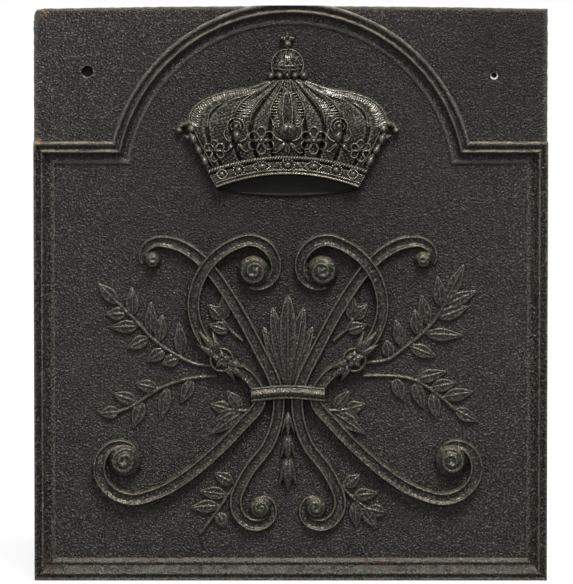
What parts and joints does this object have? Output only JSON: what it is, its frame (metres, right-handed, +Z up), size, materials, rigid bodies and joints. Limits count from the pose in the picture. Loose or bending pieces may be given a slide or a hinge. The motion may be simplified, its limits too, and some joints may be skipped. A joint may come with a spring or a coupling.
{
  "type": "fireback",
  "caption": "Cast-iron fireback with an arched frame moulding, a crown, bound scrolls, star rosettes and leafy sprays in relief, and fixing holes near its top corners.",
  "frame": {"origin": "middle of the bounding box on the plane of the bottom edge", "axes": "+X to the right of someone who looks at the decorated face, which looks towards -Y, and +Z up"},
  "size_m": [0.56, 0.032, 0.627],
  "materials": {
    "cast_iron": "fine pebbled sand-cast skin with a dark graphite sheen",
    "rust_flecked_iron": "worn paler iron with brown rust flecks",
    "rubbed_iron": "rubbed smooth, glossier than the skin"
  },
  "bodies": {
    "root": {"back_plate": "cast_iron", "base_moulding": "rust_flecked_iron", "left_upright_moulding": "cast_iron", "right_upright_moulding": "cast_iron", "left_shoulder_moulding": "cast_iron", "right_shoulder_moulding": "cast_iron", "left_arch_moulding": "cast_iron", "top_arch_moulding": "cast_iron", "right_arch_moulding": "cast_iron", "crown_lining": "cast_iron", "crown_circlet": "cast_iron", "crown_gem_1": "rubbed_iron", "crown_gem_2": "rubbed_iron", "crown_gem_3": "rubbed_iron", "crown_gem_4": "rubbed_iron", "crown_gem_5": "rubbed_iron", "crown_gem_6": "rubbed_iron", "crown_gem_7": "rubbed_iron", "crown_cap": "cast_iron", "crown_left_outer_arch": "cast_iron", "crown_left_inner_arch": "cast_iron", "crown_centre_arch": "cast_iron", "crown_right_inner_arch": "cast_iron", "crown_right_outer_arch": "cast_iron", "crown_centre_fleuron": "cast_iron", "crown_left_fleuron": "cast_iron", "crown_right_fleuron": "cast_iron", "crown_left_inner_flower": "cast_iron", "crown_right_inner_flower": "cast_iron", "crown_left_outer_flower": "cast_iron", "crown_right_outer_flower": "cast_iron", "crown_left_side_fleuron": "cast_iron", "crown_right_side_fleuron": "cast_iron", "crown_orb": "rubbed_iron", "crown_orb_collar": "rubbed_iron", "crown_cross": "cast_iron", "left_inner_scroll": "cast_iron", "right_inner_scroll": "cast_iron", "left_outer_scroll": "cast_iron", "right_outer_scroll": "cast_iron", "scroll_collar": "cast_iron", "palmette": "cast_iron", "husk_drop": "cast_iron", "left_rosette": "cast_iron", "right_rosette": "cast_iron", "upper_left_spray": "cast_iron", "lower_left_spray": "cast_iron", "upper_right_spray": "cast_iron", "lower_right_spray": "cast_iron", "left_foot_spray": "cast_iron", "right_foot_spray": "cast_iron", "left_waist_spray": "cast_iron", "right_waist_spray": "cast_iron", "left_heart_spray": "cast_iron", "right_heart_spray": "cast_iron"}
  },
  "joints": []
}
